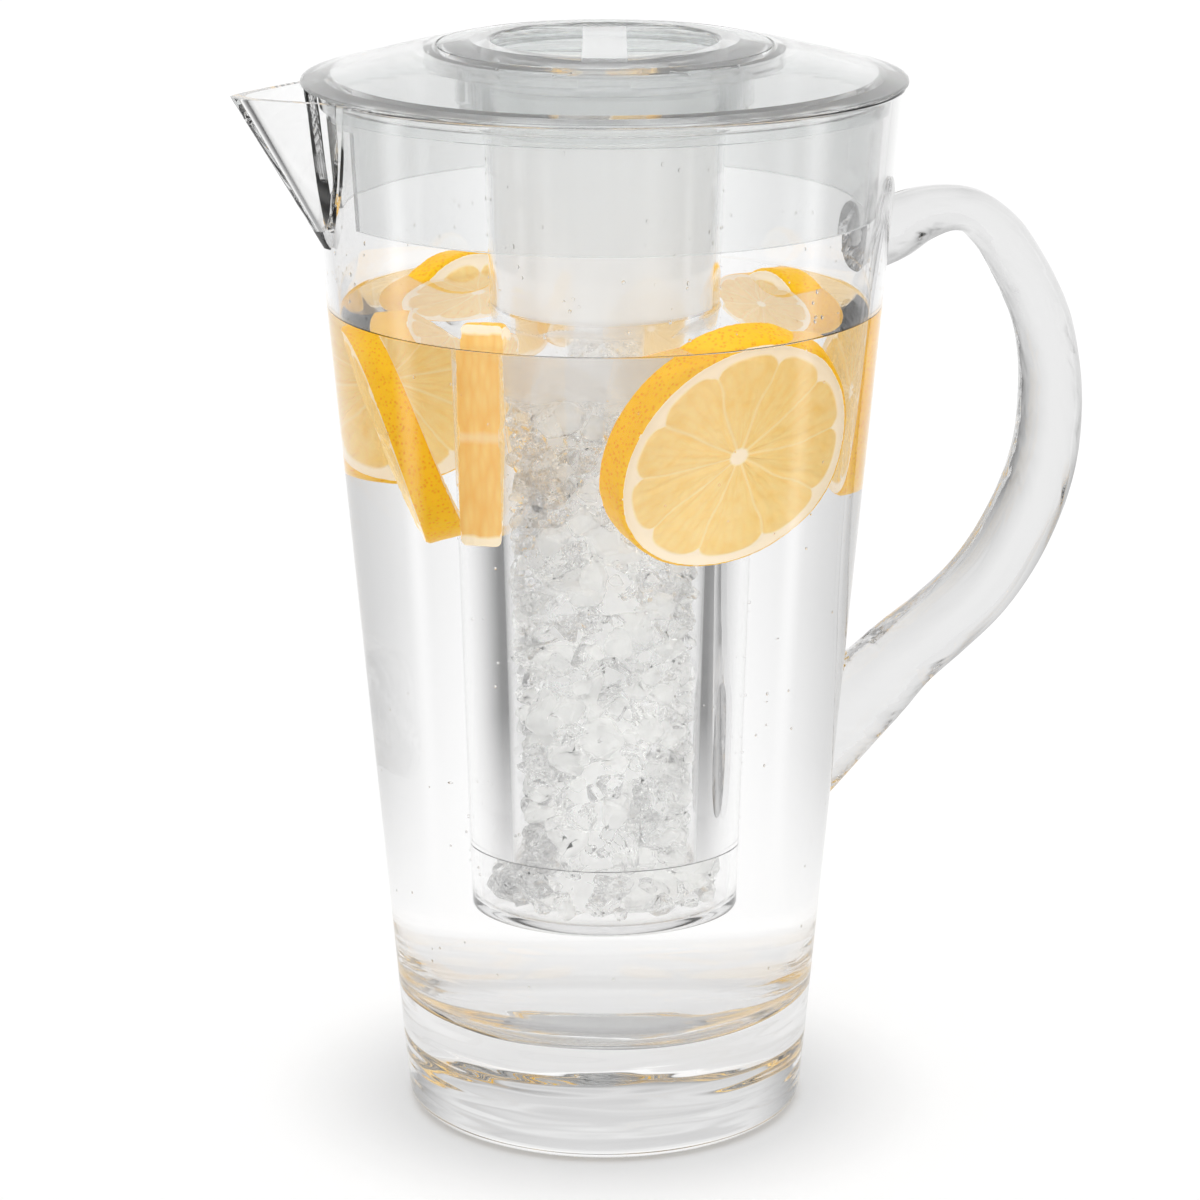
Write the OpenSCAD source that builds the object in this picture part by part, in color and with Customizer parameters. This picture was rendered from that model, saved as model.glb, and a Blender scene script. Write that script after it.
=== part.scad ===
// Clear acrylic pitcher with a welded spout and handle, a turning lid and a hanging ice core

/* [Pitcher] */
// Height of the rim above the table
pitcher_h = 268; // [250:1:290]
// Outer radius of the wall at the rim
rim_r = 74.8; // [72:0.2:80]
// Outer radius of the wall carried down to the table
base_r = 51.2; // [49:0.2:56]
// Thickness of the wall
wall = 3; // [2.4:0.1:3.4]
// Thickness of the solid base under the flat floor
base_t = 27; // [16:1:32]
// Radius of the flat part of the inside floor
floor_r = 29; // [20:1:34]
// Height of the curve that joins the floor to the wall
floor_rise = 11; // [6:1:14]
// Rounding of the outer bottom edge
foot_round = 4; // [2:0.5:6]
// Rounding of the edges of the rim
rim_round = 0.8; // [0.4:0.1:1.1]

/* [Spout] */
// How far the tip stands out from the wall
spout_reach = 23; // [16:1:30]
// Height of the spout from its root up to the rim
spout_h = 40; // [32:1:48]
// Half of the spout's width where it meets the wall at the rim
spout_half_w = 21; // [17:1:24]
// Thickness of the spout's sides
spout_wall = 2.6; // [2:0.1:3.2]

/* [Handle] */
// Distance from the pitcher's axis to the outermost point of the handle
handle_out = 130; // [118:1:140]
// Height of the top of the handle above the table
handle_top = 237; // [220:1:245]
// Height of the lowest point of the handle above the table
handle_foot = 76.5; // [60:0.5:90]
// Thickness of the handle bar where a hand goes round it
handle_thick = 16; // [13:0.5:18]
// Width of the handle bar, across the pitcher
handle_w = 17; // [14:0.5:22]

/* [Lid] */
// How far the lid's rim stands out past the pitcher's rim
lid_over = 0.8; // [0.2:0.1:6]
// Height of the lid's rounded outer edge
lid_edge_h = 0.8; // [0.6:0.1:1.4]
// Height of the knob's seat above the lid's underside
seat_h = 4.9; // [4.4:0.1:5.4]
// Thickness of the lid's top
lid_t = 2.5; // [2:0.1:3]
// Depth of the lid's skirt below the rim
skirt_h = 31.7; // [26:0.5:36]
// Thickness of the lid's skirt
skirt_t = 2.5; // [2.2:0.1:3]
// Draught of the skirt, from its top to its lower edge
skirt_draught = 2; // [1:0.1:3]
// Half of the angle of the pouring gap in the skirt
pour_half_angle = 13; // [10:0.5:20]

/* [Ice core] */
// How far the knob's rim stands out past its seal
cap_lip = 1.75; // [1:0.25:5]
// Height of the knob above the lid
cap_h = 4.8; // [4:0.1:6]
// Radius of the finger well in the knob
well_r = 28; // [24:0.5:29]
// Depth of the finger well
well_depth = 8.5; // [6:0.5:9]
// Width of the grip bar across the finger well
bar_w = 11; // [8:0.5:14]
// Outer radius of the ice tube at its top
tube_top_r = 30.4; // [28:0.1:30.6]
// Outer radius of the ice tube at its closed end
tube_end_r = 25; // [23:0.1:25.6]
// Thickness of the ice tube's wall
tube_wall = 1.7; // [1.4:0.1:2.2]
// Thickness of the ice tube's closed end
tube_floor_t = 2.5; // [2:0.1:4]
// Height of the ice tube's closed end above the table
tube_end_z = 54.5; // [50:0.5:70]
// Height of the top of the crushed ice above the table
ice_top_z = 205; // [150:1:215]

/* [Lemon] */
// Radius of the largest lemon slice
lemon_r = 32; // [26:0.5:32]
// Thickness of the lemon slices
lemon_t = 10; // [8:0.5:10]
// Thickness of the yellow skin's rounded edge
lemon_round = 1.4; // [0.6:0.1:2]

/* [Hidden] */

// Smoothness of turned shapes
$fn = 96;
// Steps in a rounded corner of an outline
corner_steps = 6;
// Extra length of every cut past the face that it opens
over = 1;
// Running gap between pieces that move on each other
gap = 0.3;

// Places on the lid, the knob and the tube that follow from the sizes above
lid_z = pitcher_h + gap;
lid_r = rim_r + lid_over;
plate_z = lid_z + seat_h;
rim_inner_r = rim_r - wall;
skirt_play = 1.8;
skirt_top_r = rim_inner_r - skirt_play;
skirt_low_r = skirt_top_r - skirt_draught;
skirt_low_z = lid_z - skirt_h;
// Groove in the skirt that holds the silicone ring
groove_drop = 2.6;
groove_h = 3;
groove_depth = 1.2;
// Knob, with the plug that goes down through the lid's collar
cap_z = plate_z + gap;
cap_top_z = cap_z + cap_h;
cap_bevel_w = 8;
cap_bevel_h = 1.2;
cap_rim_z = cap_top_z - cap_bevel_h;
well_edge = 1.2;
well_taper = 1;
socket_play = 0.65;
socket_r = tube_top_r + socket_play;
plug_t = 3;
plug_r = socket_r + plug_t;
collar_r = plug_r + gap + gap;
collar_t = 2.5;
collar_depth = 11.4;
collar_z = plate_z - collar_depth;
cap_floor_t = 2.3;
well_floor_z = cap_top_z - well_depth;
cap_floor_z = well_floor_z - cap_floor_t;
lug_h = 3;
lug_out = 2.3;
lug_half_angle = 9;
notch_half_angle = 12;
lug_top_z = collar_z - gap;
plug_z = lug_top_z - lug_h - gap;
// Groove under the knob's rim that holds the seal
seal_inset = 2.4;
seal_in_r = collar_r + seal_inset;
seal_w = 2.4;
seal_h = 1.1;
cap_r = seal_in_r + seal_w + gap + cap_lip;
// Recess in the lid's crown, in which the knob's rim sits flush
recess_play = 0.6;
recess_r = cap_r + recess_play;
// Dome of the lid: its edge, the corner of its two slopes, and the edge of the recess
dome_edge = [lid_r - lid_edge_h, lid_z + lid_edge_h];
dome_corner_share = 0.25;
dome_rise_share = 0.82;
dome_corner = [recess_r + (dome_edge[0] - recess_r) * dome_corner_share,
    dome_edge[1] + (cap_rim_z - dome_edge[1]) * dome_rise_share];
dome_end = [recess_r, cap_rim_z];
// Ice tube
tube_top_z = cap_floor_z - gap;
tube_round = 3;
bead_out = 0.3;
bead_h = 1.6;
bead_drop = 5;
// Raised marks on the lid that show which way the knob turns
mark_w = 1.4;
mark_h = 0.5;
mark_angle = 20;
mark_head = 2.4;
mark_r = recess_r + mark_head + 1.5;
mark_azimuth = 258;
mark_spread = 29;

function outer_r(z) = base_r + (rim_r - base_r) * z / pitcher_h;
function inner_r(z) = outer_r(z) - wall;
function tube_r(z) = tube_end_r + (tube_top_r - tube_end_r) * (z - tube_end_z) / (tube_top_z - tube_end_z);

// Height of the lid's dome at radius r, on the curve through its edge and the recess
function dome_t(r) =
    let (a = dome_edge[0] - dome_corner[0] * 2 + dome_end[0], b = (dome_edge[0] - dome_corner[0]) * 2)
    (b - sqrt(b * b - a * (dome_edge[0] - r) * 4)) / (a * 2);
function dome_z(r) =
    let (t = dome_t(r))
    dome_edge[1] * (1 - t) * (1 - t) + dome_corner[1] * t * (1 - t) * 2 + dome_end[1] * t * t;
// Points of the dome from radius a to radius b, moved up by rise
function dome_run(a, b, rise) = [for (i = [0:corner_steps])
    let (r = a + (b - a) * i / corner_steps)
    [r, dome_z(r) + rise]];

// Points of a quarter arc with radii rx and ry round c, from angle a to angle b
function arc(c, rx, ry, a, b, n = corner_steps) = [
    for (i = [0:n])
        [c[0] + rx * cos(a + (b - a) * i / n), c[1] + ry * sin(a + (b - a) * i / n)]
];

// Pitcher body: one thick acrylic tumbler, turned about its axis
module pitcher_body() {
    wall_lean = atan((rim_r - base_r) / pitcher_h);
    foot_x = outer_r(foot_round) - foot_round;
    curve_z = base_t + floor_rise;
    rim_z = pitcher_h - rim_round;
    profile = concat(
        [[0, 0]],
        arc([foot_x, foot_round], foot_round, foot_round, -90, -wall_lean),
        arc([outer_r(rim_z) - rim_round, rim_z], rim_round, rim_round, 0, 90, 3),
        arc([inner_r(rim_z) + rim_round, rim_z], rim_round, rim_round, 90, 180, 3),
        arc([floor_r, curve_z], inner_r(curve_z) - floor_r, floor_rise, 0, -90, corner_steps * 2),
        [[0, base_t]]
    );
    color([0.86, 0.9, 0.92, 0.35])
    difference() {
        rotate_extrude() polygon(profile);
        pour_opening();
    }
}

// Opening that is cut through the wall behind the spout
module pour_opening() {
    side = spout_half_w - spout_wall - opening_margin;
    low_z = pitcher_h - spout_h + opening_rise;
    translate([-rim_r - over, 0, 0])
    rotate([90, 0, 90])
    linear_extrude(rim_r)
    polygon(concat(
        [[side, pitcher_h + over], [-side, pitcher_h + over]],
        [for (i = [0:corner_steps * 2])
            let (a = 180 + 180 * i / (corner_steps * 2))
            [side * cos(a), pitcher_h + (pitcher_h - low_z) * sin(a)]]
    ));
}

opening_margin = 1.4;
opening_rise = 7;

// Spout: a folded V of acrylic sheet, welded over the opening in the wall

spout_rows = 10;
spout_cols = 8;
keel_round_share = 0.05;
first_row_share = 0.04;
spout_root = 2;
// How far the sides run into the wall before they are cut back to it
weld_bite = 0.5;

// One level of the spout: the V from one weld edge to the other, closed behind inside the wall
function spout_level(z, reach, half_w) =
    let (chord = sqrt(outer_r(z) * outer_r(z) - half_w * half_w))
    concat(
        [for (i = [-spout_cols:spout_cols])
            let (u = -i / spout_cols)
            let (v = (sqrt(1 + keel_round_share) - sqrt(u * u + keel_round_share))
                / (sqrt(1 + keel_round_share) - sqrt(keel_round_share)))
            [-(chord - weld_bite + (reach + weld_bite) * v), u * half_w, z]],
        [[-(chord - spout_root), -half_w, z], [-(chord - spout_root), half_w, z]]
    );

// A solid through a list of levels that all have the same number of points
module loft(levels) {
    n = len(levels[0]);
    m = len(levels);
    points = [for (level = levels) for (p = level) p];
    sides = [for (i = [0:m - 2]) for (j = [0:n - 1])
        let (k = (j + 1) % n)
        each [[i * n + j, (i + 1) * n + j, (i + 1) * n + k], [i * n + j, (i + 1) * n + k, i * n + k]]];
    polyhedron(points, concat(sides, [[for (j = [0:n - 1]) j]],
        [[for (j = [n - 1:-1:0]) (m - 1) * n + j]]));
}

module spout() {
    low_z = pitcher_h - spout_h;
    inner_low_z = low_z + spout_wall * 2;
    inner_reach = spout_reach - spout_wall * 1.5;
    inner_half_w = spout_half_w - spout_wall;
    rows = [for (i = [0:spout_rows]) first_row_share + (1 - first_row_share) * pow(i / spout_rows, 2)];
    color([0.84, 0.88, 0.9, 0.35])
    difference() {
        loft([for (t = rows)
            spout_level(low_z + spout_h * t, spout_reach * t, spout_half_w * sqrt(t))]);
        loft([for (t = rows)
            spout_level(inner_low_z + (pitcher_h + over - inner_low_z) * t, inner_reach * t,
                inner_half_w * sqrt(t))]);
        wall_blank();
    }
}

// Everything inside the wall's outer surface, which the welded pieces are cut back to
module wall_blank() {
    low = -over;
    high = pitcher_h + over;
    translate([0, 0, low])
    cylinder(h = high - low, r1 = outer_r(low), r2 = outer_r(high));
}

// Handle: one thick bent acrylic bar, welded to the wall at both ends

// Place of each station outwards, its height and the bar's thickness there, from the top weld down
handle_shares = [
    [0.02, 0.905, 1.18], [0.253, 0.931, 1.0], [0.371, 0.953, 0.84], [0.48, 0.962, 0.72],
    [0.576, 0.954, 0.72], [0.655, 0.926, 0.775], [0.712, 0.894, 0.81], [0.792, 0.831, 0.86],
    [0.848, 0.773, 0.89], [0.879, 0.708, 0.93], [0.89, 0.635, 1.0], [0.878, 0.558, 1.04],
    [0.842, 0.495, 1.09], [0.788, 0.436, 1.125], [0.713, 0.377, 1.15], [0.613, 0.321, 1.175],
    [0.484, 0.271, 1.19], [0.345, 0.224, 1.25], [0.228, 0.176, 1.38], [0.045, 0.109, 1.64],
    [-0.155, 0.034, 1.9]
];
handle_root_flare_share = 0.2;
handle_section_points = 20;
handle_section_power = 2.5;

// A smooth curve through the stations, at position s counted in stations
function spline(list, s) =
    let (last = len(list) - 1)
    let (i = min(floor(s), last - 1))
    let (t = s - i)
    let (p0 = list[max(i - 1, 0)], p1 = list[i], p2 = list[i + 1], p3 = list[min(i + 2, last)])
    (p1 * 2 + (p2 - p0) * t + (p0 * 2 - p1 * 5 + p2 * 4 - p3) * t * t
        + (p1 * 3 - p0 - p2 * 3 + p3) * t * t * t) / 2;

function power_curve(v) = sign(v) * pow(abs(v), 2 / handle_section_power);

module handle() {
    root_x = outer_r(handle_foot) - wall / 2;
    reach = handle_out - root_x;
    rise = handle_top - handle_foot;
    last = len(handle_shares) - 1;
    half_steps = last * 2;
    levels = [for (i = [0:half_steps])
        let (s = i / 2)
        let (here = spline(handle_shares, s))
        let (ahead = spline(handle_shares, min(s + 0.25, last)))
        let (behind = spline(handle_shares, max(s - 0.25, 0)))
        let (dx = (ahead[0] - behind[0]) * reach, dz = (ahead[1] - behind[1]) * rise)
        let (long = sqrt(dx * dx + dz * dz))
        let (nx = -dz / long, nz = dx / long)
        let (edge = min(s, last - s))
        let (flare = 1 + handle_root_flare_share * max(0, 1 - edge / 3))
        [for (j = [0:handle_section_points - 1])
            let (a = 360 * j / handle_section_points)
            let (across = power_curve(cos(a)) * handle_w / 2 * flare)
            let (through = power_curve(sin(a)) * here[2] * handle_thick / 2)
            [root_x + here[0] * reach + nx * through, across, handle_foot + here[1] * rise + nz * through]]
    ];
    color([0.84, 0.88, 0.9, 0.35])
    difference() {
        loft(levels);
        wall_blank();
    }
}

// Lid: a moulded acrylic dome with a deep skirt, a pouring gap, and a recess and a collar for the knob

module lid() {
    groove_z = lid_z - groove_drop;
    groove_r = skirt_top_r - groove_depth;
    seat_under_z = plate_z - lid_t;
    recess_out_r = recess_r + lid_t;
    profile = concat(
        [[lid_r, lid_z]],
        arc([lid_r - lid_edge_h, lid_z], lid_edge_h, lid_edge_h, 15, 75, 3),
        dome_run(dome_edge[0], recess_r, 0),
        [[recess_r, plate_z], [collar_r, plate_z], [collar_r, collar_z], [collar_r + collar_t, collar_z],
            [collar_r + collar_t, seat_under_z], [recess_out_r, seat_under_z]],
        dome_run(recess_out_r, skirt_top_r - skirt_t, -lid_t),
        [[skirt_low_r - skirt_t, skirt_low_z],
            [skirt_low_r, skirt_low_z], [skirt_side_r(groove_z - groove_h), groove_z - groove_h],
            [groove_r, groove_z - groove_h], [groove_r, groove_z], [skirt_side_r(groove_z), groove_z],
            [skirt_top_r, lid_z]]
    );
    color([0.8, 0.86, 0.9, 0.4])
    difference() {
        union() {
            rotate_extrude() polygon(profile);
            turn_mark(mark_azimuth - mark_spread, 1);
            turn_mark(mark_azimuth + mark_spread, -1);
        }
        pouring_gap();
        for (a = [0, 180])
            collar_notch(a);
    }
}

function skirt_side_r(z) = skirt_low_r + skirt_draught * (z - skirt_low_z) / skirt_h;

// Gap in the skirt that lets the drink reach the spout, below the silicone ring
module pouring_gap() {
    top = lid_z - groove_drop - groove_h - gap_roof;
    far = skirt_top_r + over;
    translate([0, 0, skirt_low_z - over])
    linear_extrude(top - skirt_low_z + over)
    polygon([[-(collar_r + collar_t + over) * cos(pour_half_angle), (collar_r + over) * sin(pour_half_angle)],
        [-far, far * tan(pour_half_angle)], [-far, -far * tan(pour_half_angle)],
        [-(collar_r + collar_t + over) * cos(pour_half_angle), -(collar_r + over) * sin(pour_half_angle)]]);
}

gap_roof = 2;

// Way through the collar for one lug of the knob
module collar_notch(azimuth) {
    far = plug_r + lug_out + gap;
    translate([0, 0, collar_z - over])
    linear_extrude(plate_z - collar_z + over * 2)
    intersection() {
        circle(r = far);
        polygon([[0, 0], far * [cos(azimuth - notch_half_angle), sin(azimuth - notch_half_angle)]
            / cos(notch_half_angle), far * [cos(azimuth + notch_half_angle),
            sin(azimuth + notch_half_angle)] / cos(notch_half_angle)]);
    }
}

// Raised curved arrow that lies on the lid's dome
module turn_mark(azimuth, way) {
    near = mark_r - mark_w / 2;
    far = mark_r + mark_w / 2;
    slope = atan((dome_z(near) - dome_z(far)) / mark_w);
    union() {
        rotate([0, 0, azimuth - mark_angle / 2])
        rotate_extrude(angle = mark_angle)
        polygon([[near, dome_z(near) - mark_h], [far, dome_z(far) - mark_h],
            [far, dome_z(far) + mark_h], [near, dome_z(near) + mark_h]]);
        rotate([0, 0, azimuth + way * mark_angle / 2])
        translate([mark_r, 0, dome_z(mark_r) - mark_h])
        rotate([0, slope, 0])
        linear_extrude(mark_h * 2)
        polygon([[-mark_head, -way * mark_w / 2], [mark_head, -way * mark_w / 2], [0, way * mark_head * 1.5]]);
    }
}

// Clear silicone ring in the skirt's groove, which runs on the inside of the pitcher's wall
module lid_ring() {
    low = lid_z - groove_drop - groove_h + gap;
    high = lid_z - groove_drop - gap;
    inside = skirt_top_r - groove_depth + gap;
    color([0.9, 0.92, 0.93, 0.6])
    rotate_extrude()
    polygon([[inside, low], [inner_r(low) - gap, low], [inner_r(high) - gap, high], [inside, high]]);
}

// Knob of the ice core: rim, finger well with its grip bar, and the plug that holds the tube
module core_cap() {
    well_low_r = well_r - well_taper;
    profile = concat(
        [[0, cap_floor_z], [socket_r, cap_floor_z], [socket_r, plug_z], [plug_r, plug_z],
            [plug_r, cap_z], [seal_in_r - gap, cap_z], [seal_in_r - gap, cap_z + seal_h + gap],
            [seal_in_r + seal_w + gap, cap_z + seal_h + gap], [seal_in_r + seal_w + gap, cap_z],
            [cap_r, cap_z], [cap_r, cap_rim_z], [cap_r - cap_bevel_w, cap_top_z]],
        arc([well_r + well_edge, cap_top_z - well_edge], well_edge, well_edge, 90, 180, 4),
        [[well_low_r, well_floor_z], [0, well_floor_z]]
    );
    color([0.82, 0.88, 0.92, 0.45])
    union() {
        rotate_extrude() polygon(profile);
        rotate([0, 0, -view_azimuth])
        grip_bar();
        for (a = [0, 180])
            rotate([0, 0, a - lug_half_angle])
            rotate_extrude(angle = lug_half_angle * 2)
            translate([plug_r - over, lug_top_z - lug_h])
            square([lug_out + over, lug_h]);
    }
}

// The grip bar lies square to the handle, turned by this much when the knob is open
view_azimuth = 17;
bar_drop = 0.6;

module grip_bar() {
    high = cap_top_z - bar_drop;
    intersection() {
        translate([-bar_w / 2, -well_r - well_edge, well_floor_z - over])
        cube([bar_w, (well_r + well_edge) * 2, high - well_floor_z + over]);
        translate([0, 0, well_floor_z - over])
        cylinder(h = high, r = well_r + well_edge / 2);
    }
}

// Silicone seal between the knob's rim and the lid
module core_seal() {
    color([0.93, 0.94, 0.95, 0.7])
    rotate_extrude()
    translate([seal_in_r, cap_z])
    square([seal_w, seal_h]);
}

// Ice tube: a long tapered acrylic cup that hangs from the knob into the drink
module ice_tube() {
    inside_end_z = tube_end_z + tube_floor_t;
    bead_z = tube_top_z - bead_drop;
    profile = concat(
        [[0, tube_end_z]],
        arc([tube_end_r - tube_round, tube_end_z + tube_round], tube_round, tube_round, -90, 0),
        [[tube_r(bead_z - bead_h), bead_z - bead_h], [tube_r(bead_z) + bead_out, bead_z - bead_h / 2],
            [tube_r(bead_z), bead_z], [tube_top_r, tube_top_z], [tube_top_r - tube_wall, tube_top_z]],
        arc([tube_r(inside_end_z) - tube_wall - tube_round, inside_end_z + tube_round], tube_round,
            tube_round, 0, -90),
        [[0, inside_end_z]]
    );
    color([0.85, 0.9, 0.94, 0.4])
    rotate_extrude() polygon(profile);
}

// Crushed ice: broken lumps that fill the tube in tilted layers round a middle column

ice_sectors = 6;
ice_layer_h = 16;
ice_core_share = 0.4;
ice_shrink_share = 0.95;
ice_jitter_share = 0.16;
ice_tilt = 9;
ice_seed = 41;
ice_low_z = tube_end_z + tube_floor_t + gap;
ice_layers = round((ice_top_z - ice_low_z) / ice_layer_h);
ice_h = (ice_top_z - ice_low_z) / ice_layers;
ice_rolls = rands(-1, 1, (ice_layers + 1) * (ice_sectors + 4), ice_seed);

// A random number from -1 to 1 for item i of layer l
function ice_roll(l, i) = ice_rolls[l * (ice_sectors + 4) + i];

// One corner of a lump in layer l, on its lower or upper face, at sector j, inside (0) or outside (1)
function ice_corner(l, upper, j, k) =
    let (face = l + upper)
    let (tilt = face > 0 ? ice_tilt * ice_roll(face, 0) : 0)
    let (full = tube_r(max(ice_low_z + ice_h * (l - 0.2), tube_end_z)) - tube_wall - gap * 2
        - (face == 0 ? tube_round / 2 : 0))
    let (r = k == 1 ? full : full * (ice_core_share + ice_roll(l, 1) * ice_jitter_share / 2))
    let (side = j % ice_sectors)
    let (a = 360 / ice_sectors * (j + ice_roll(l, 2) + ice_roll(l, side + 4) * ice_jitter_share))
    let (x = r * cos(a), y = r * sin(a))
    let (way = 180 * ice_roll(face, 3))
    [x, y, ice_low_z + ice_h * face + tan(tilt) * (x * cos(way) + y * sin(way))];

function middle(points) = [for (i = [0:2]) [for (p = points) p[i]] * [for (p = points) 1] / len(points)];

// A lump: the hull of its corners, drawn in a little so that it stays a separate piece
module lump(corners) {
    c = middle(corners);
    inner = [for (p = corners) c + (p - c) * ice_shrink_share];
    hull()
    polyhedron(inner, [[for (i = [0:len(inner) - 1]) i]]);
}

module crushed_ice() {
    color([0.93, 0.96, 0.99, 0.8])
    union() {
        for (l = [0:ice_layers - 1]) {
            lump([for (upper = [0, 1]) for (j = [0:ice_sectors - 1]) ice_corner(l, upper, j, 0)]);
            for (j = [0:ice_sectors - 1])
                lump([for (upper = [0, 1]) for (dj = [0, 1]) for (k = [0, 1])
                    ice_corner(l, upper, j + dj, k)]);
        }
    }
}

// Lemon slices, each seated against the inside of the wall

lemon_gap = 0.4;
seat_turns = 8;

// A point of a slice's edge: angle a, side +1 or -1, for a slice turned to face azimuth and lift
function turned(p, azimuth, lift, roll) =
    let (x = p[0] * cos(roll) - p[1] * sin(roll), y = p[0] * sin(roll) + p[1] * cos(roll))
    let (tip = 90 - lift)
    let (u = x * cos(tip) + p[2] * sin(tip), w = -x * sin(tip) + p[2] * cos(tip))
    [u * cos(azimuth) - y * sin(azimuth), u * sin(azimuth) + y * cos(azimuth), w];

// How far the slice at distance d from the axis would reach past the inside of the wall
function excess(d, at, z, r, azimuth, lift, roll, sweep) =
    max([for (a = [0:10:sweep]) for (side = [-1, 1])
        let (q = turned([r * cos(a), r * sin(a), side * lemon_t / 2], azimuth, lift, roll))
        norm([q[0] + d * cos(at), q[1] + d * sin(at)]) - inner_r(z + q[2])]);

// Distance from the axis at which the slice just clears the wall
function seat(d, at, z, r, azimuth, lift, roll, sweep, turns = seat_turns) =
    turns == 0 ? d
    : seat(d - excess(d, at, z, r, azimuth, lift, roll, sweep) - lemon_gap, at, z, r, azimuth, lift,
        roll, sweep, turns - 1);

// A slice of radius r, or half of one when sweep is 180
module lemon(at, z, r, azimuth, lift, roll, sweep) {
    start = (inner_r(z) + tube_r(z)) / 2;
    d = seat(start, at, z, r, azimuth, lift, roll, sweep);
    half = lemon_t / 2;
    translate([d * cos(at), d * sin(at), z])
    rotate([0, 90 - lift, azimuth])
    rotate([0, 0, roll])
    intersection() {
        rotate_extrude()
        polygon(concat(
            [[0, -half]],
            arc([r - lemon_round, -half + lemon_round], lemon_round, lemon_round, -90, 0, 4),
            arc([r - lemon_round, half - lemon_round], lemon_round, lemon_round, 0, 90, 4),
            [[0, half]]
        ));
        if (sweep < 360)
            translate([-r - over, 0, -lemon_t])
            cube([(r + over) * 2, r + over, lemon_t * 2]);
    }
}

// Depth of the slices' middles below the rim
lemon_front_drop = 82.5;
lemon_low_drop = 84;
lemon_mid_drop = 80;
lemon_high_drop = 78;
lemon_front_z = pitcher_h - lemon_front_drop;
lemon_low_z = pitcher_h - lemon_low_drop;
lemon_mid_z = pitcher_h - lemon_mid_drop;
lemon_high_z = pitcher_h - lemon_high_drop;
// Distance between the middles of the two halves, along the wall
halves_apart = 53.26349;
// The smaller slices come from nearer the ends of the fruit
small_share = 0.86;
half_share = 0.9;
// How far the front slice and the left half lean, as a share of the lean that the room round them allows
front_lean_share = 1.37;
left_lean_share = 1.12275;

// The angle by which a slice of radius r can lean between the wall and the tube
function lean_room(z, r) = asin((sqrt(inner_r(z) * inner_r(z) - r * r) - tube_r(z) - lemon_t) / (r * 2));

module lemon_slice_front() {
    color([0.98, 0.8, 0.3])
    lemon(288, lemon_front_z, lemon_r, 288, -front_lean_share * lean_room(lemon_front_z, lemon_r), 0, 360);
}

module lemon_half_left() {
    left_r = lemon_r * half_share;
    color([0.97, 0.76, 0.16])
    lemon(177, lemon_low_z, left_r, 158, -left_lean_share * lean_room(lemon_low_z, left_r), 0, 180);
}

module lemon_half_middle() {
    spread = halves_apart / inner_r(lemon_high_z) * 180 / PI;
    color([0.97, 0.82, 0.42])
    lemon(177 + spread, lemon_high_z, lemon_r * small_share, 289 + spread, 0, 0, 180);
}

module lemon_slice_back() {
    color([0.95, 0.8, 0.3])
    lemon(116, lemon_high_z, lemon_r * small_share, 116, -6, 0, 360);
}

module lemon_slice_right() {
    color([0.97, 0.78, 0.2])
    lemon(12, lemon_mid_z, lemon_r * small_share, 8, -6, 0, 360);
}

pitcher_body();
spout();
handle();
lid();
lid_ring();
core_cap();
core_seal();
ice_tube();
crushed_ice();
lemon_slice_front();
lemon_half_left();
lemon_half_middle();
lemon_slice_back();
lemon_slice_right();
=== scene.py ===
import math
import random

import bmesh
import bpy
from mathutils import Matrix, Vector, noise


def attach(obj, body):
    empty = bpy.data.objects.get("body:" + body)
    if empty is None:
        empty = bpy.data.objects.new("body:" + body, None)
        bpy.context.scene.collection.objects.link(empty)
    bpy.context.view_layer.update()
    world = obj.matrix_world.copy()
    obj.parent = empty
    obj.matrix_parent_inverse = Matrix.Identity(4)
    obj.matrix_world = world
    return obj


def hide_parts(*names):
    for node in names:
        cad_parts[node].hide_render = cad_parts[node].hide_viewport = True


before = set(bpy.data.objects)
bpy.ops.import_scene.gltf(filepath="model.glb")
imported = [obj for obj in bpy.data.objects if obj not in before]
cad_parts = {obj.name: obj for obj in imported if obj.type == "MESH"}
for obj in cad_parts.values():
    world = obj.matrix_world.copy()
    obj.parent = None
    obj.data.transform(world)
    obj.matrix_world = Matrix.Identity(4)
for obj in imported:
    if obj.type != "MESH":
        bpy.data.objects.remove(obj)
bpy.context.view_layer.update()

# Pitcher body
# A heavy tumbler of cast clear acrylic, moulded in one piece with a solid base and then polished.
# The wall leans outwards all the way up, and an opening behind the spout lets the drink through.

MM = 0.001
RIM_Z = 268 * MM
RIM_R = 74.8 * MM
BASE_R = 51.2 * MM
WALL = 3 * MM
FLOOR_Z = 27 * MM
FLOOR_R = 29 * MM
FLOOR_RISE = 11 * MM
FOOT_ROUND = 4 * MM
RIM_ROUND = 0.8 * MM
TURNS = 288
# Neighbouring clear pieces bite this far into each other, so that light meets no film of air there
BITE = 0.15 * MM


def outer_r(z):
    return BASE_R + (RIM_R - BASE_R) * z / RIM_Z


def inner_r(z):
    return outer_r(z) - WALL


def arc(centre, rx, ry, start, end, steps=10):
    """Points of an elliptic arc in the plane of radius and height, angles in degrees."""
    angles = [math.radians(start + (end - start) * i / steps) for i in range(steps + 1)]
    return [(centre[0] + rx * math.cos(a), centre[1] + ry * math.sin(a)) for a in angles]


def with_loops(profile, edge=0.35 * MM, step=7 * MM):
    """The same outline with extra points near the ends of its long runs, which keep the shading true."""
    out = [profile[0]]
    for a, b in zip(profile, profile[1:]):
        run = math.dist(a, b)
        shares = []
        if run > 4 * edge:
            inside = max(1, round((run - 2 * edge) / step))
            shares = [(edge + (run - 2 * edge) * i / inside) / run for i in range(inside + 1)]
        for t in shares:
            out.append((a[0] + (b[0] - a[0]) * t, a[1] + (b[1] - a[1]) * t))
        out.append(b)
    return out


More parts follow.
